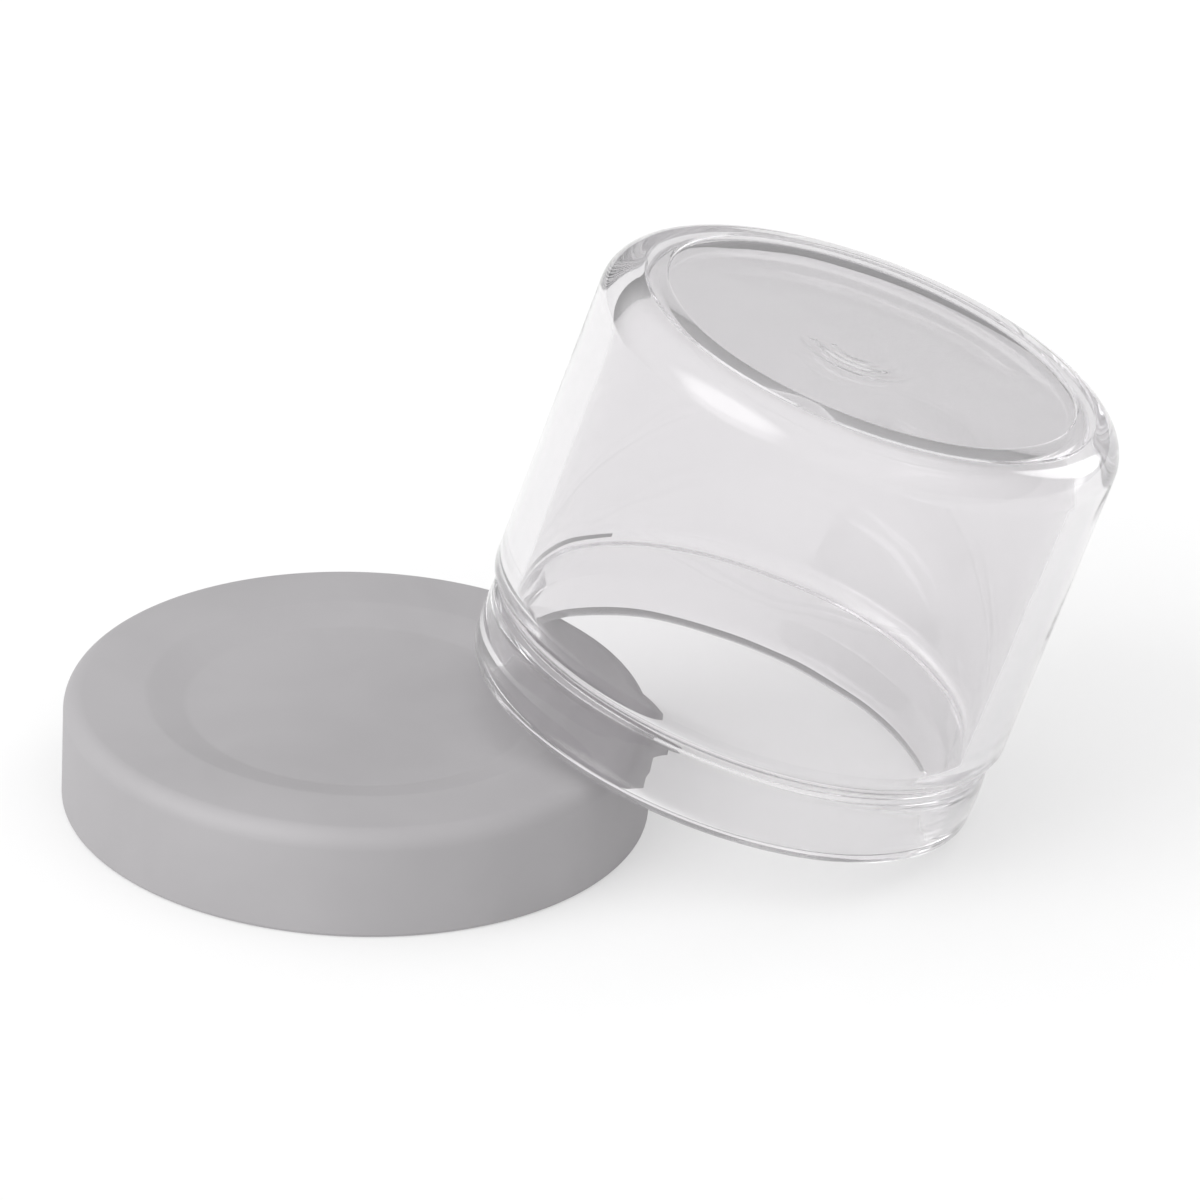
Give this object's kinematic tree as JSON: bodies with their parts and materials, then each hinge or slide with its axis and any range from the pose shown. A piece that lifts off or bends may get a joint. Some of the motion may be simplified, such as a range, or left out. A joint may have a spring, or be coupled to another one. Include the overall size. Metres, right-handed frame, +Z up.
{
  "type": "dappen dish",
  "caption": "Small round clear-glass dish for nail liquids, upside down and leaning on the edge of its press-on plastic lid.",
  "frame": {"origin": "middle of the bounding box of the dish and lid as they lie, on the table", "axes": "+Z up, +X from the lid towards the dish, +Y away from the side the pair is seen from"},
  "size_m": [0.0792, 0.0478, 0.0436],
  "materials": {
    "clear_glass": "clear pressed soda-lime glass, fire-polished",
    "lid_plastic": "matt light-grey polyethylene, moulded"
  },
  "bodies": {
    "lid": {"press_on_lid": "lid_plastic"},
    "dish": {"glass_dish": "clear_glass"}
  },
  "joints": [
    {"name": "dish_lift", "type": "slide", "parent": "lid", "child": "dish", "axis": [0, 0, 1], "range_m": [0, 0.06]}
  ]
}
